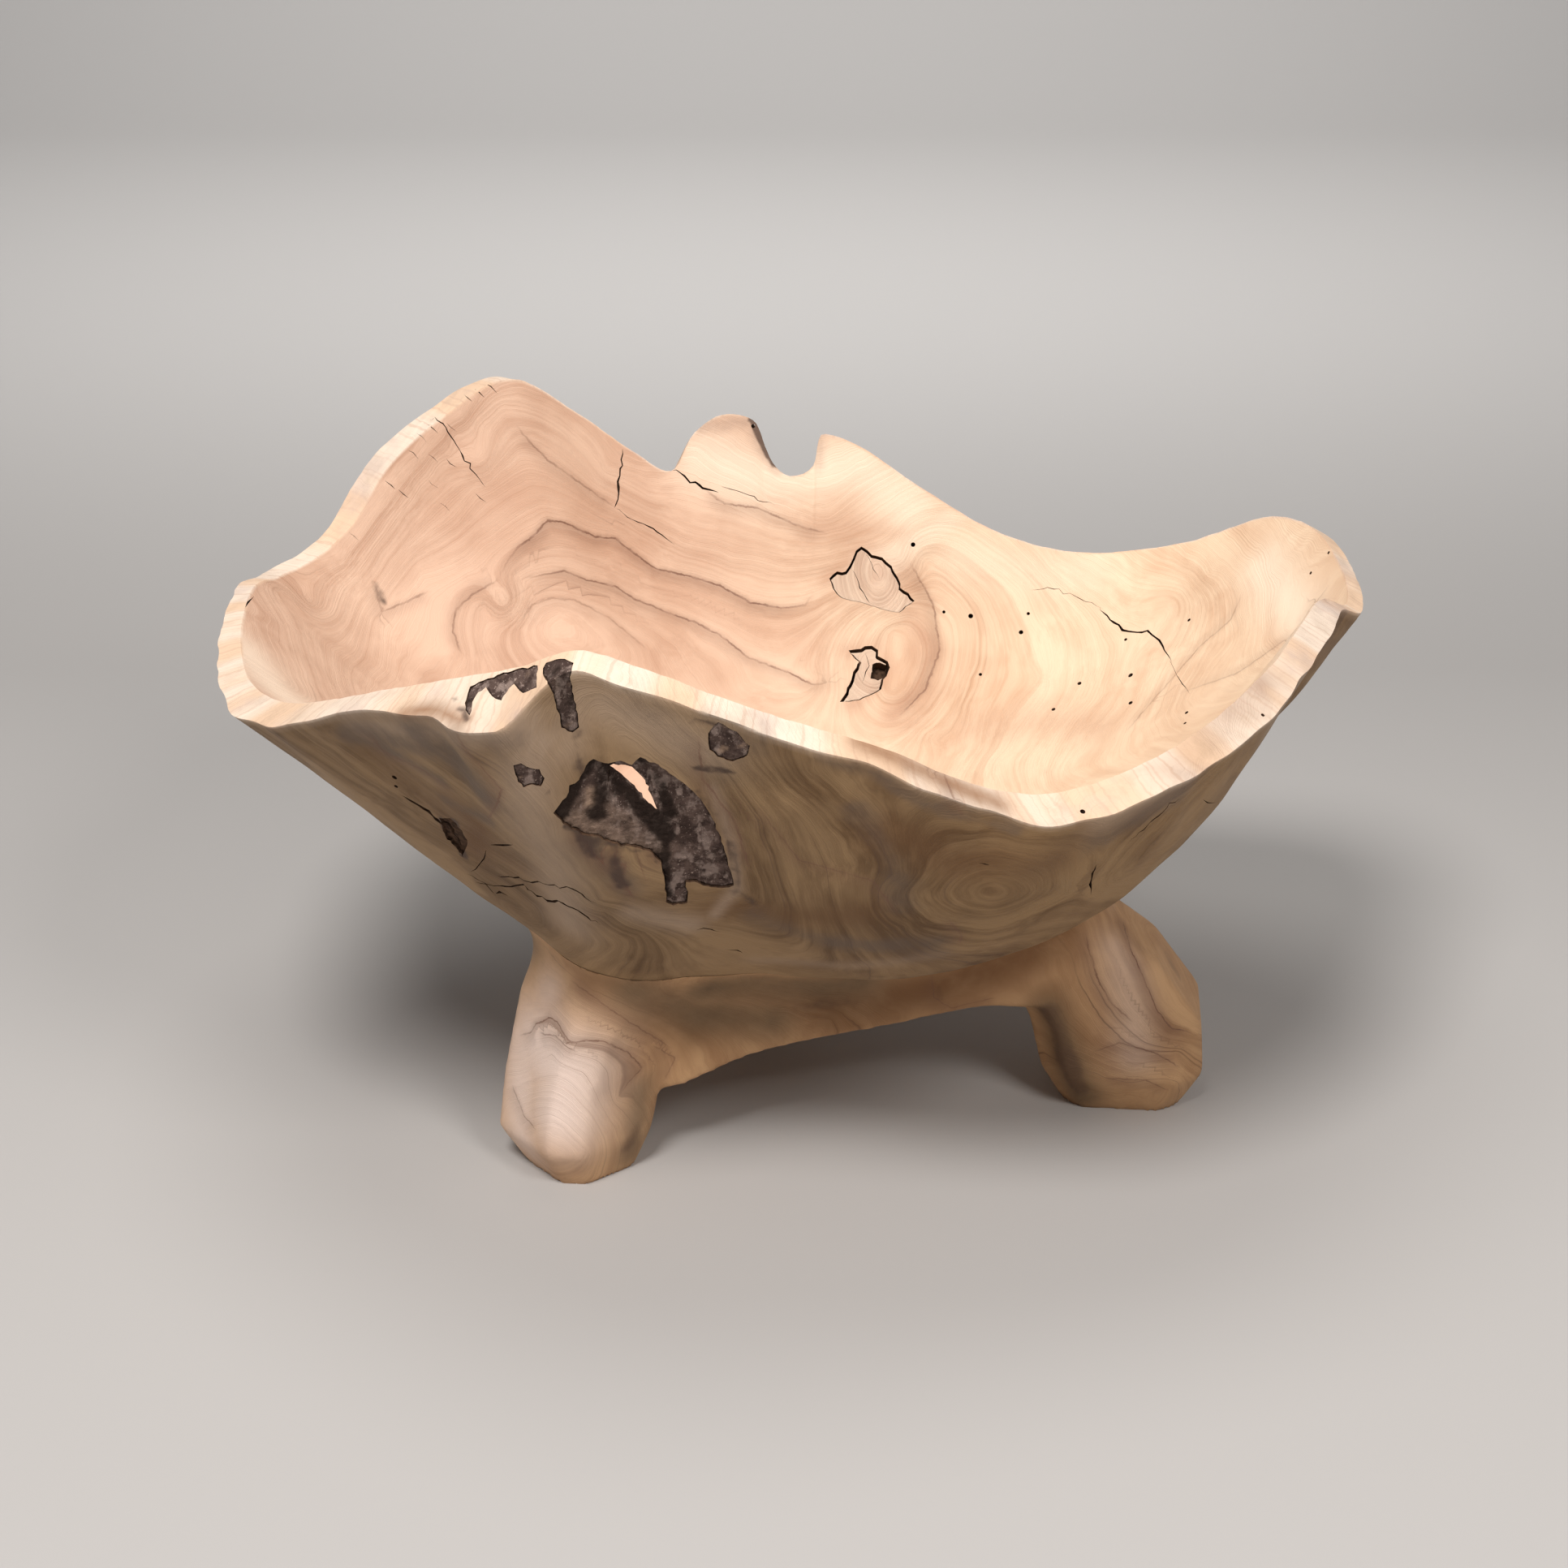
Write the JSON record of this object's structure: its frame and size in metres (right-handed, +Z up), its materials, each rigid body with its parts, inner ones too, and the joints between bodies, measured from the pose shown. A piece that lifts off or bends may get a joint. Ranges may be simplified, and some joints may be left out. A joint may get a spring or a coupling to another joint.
{
  "type": "teak root bowl",
  "caption": "Free-standing hand-carved wooden bowl: wide irregular basin with a wavy rim, scribed onto a low root stand with stout legs.",
  "frame": {"origin": "on the floor, under the middle of the bowl's overall box", "axes": "+X along the bowl's length, from the high left lobe to the right tip, +Y from the front with the hollow to the back with the notch, +Z up"},
  "size_m": [0.5228, 0.4134, 0.3],
  "materials": {
    "basin_teak": "sanded, bare",
    "stand_teak": "sanded, bare",
    "knot_wood": "sanded, bare",
    "bark": "rough, crumbly",
    "peg_wood": "turned, bare"
  },
  "bodies": {
    "root": {"basin": "basin_teak", "stand": "stand_teak", "knot_upper": "knot_wood", "knot_lower": "knot_wood", "bark_rim": "bark", "bark_hook": "bark", "bark_small": "bark", "bark_oval": "bark", "bark_lining": "bark", "peg_left": "peg_wood", "peg_right": "peg_wood", "peg_rear": "peg_wood"}
  },
  "joints": []
}
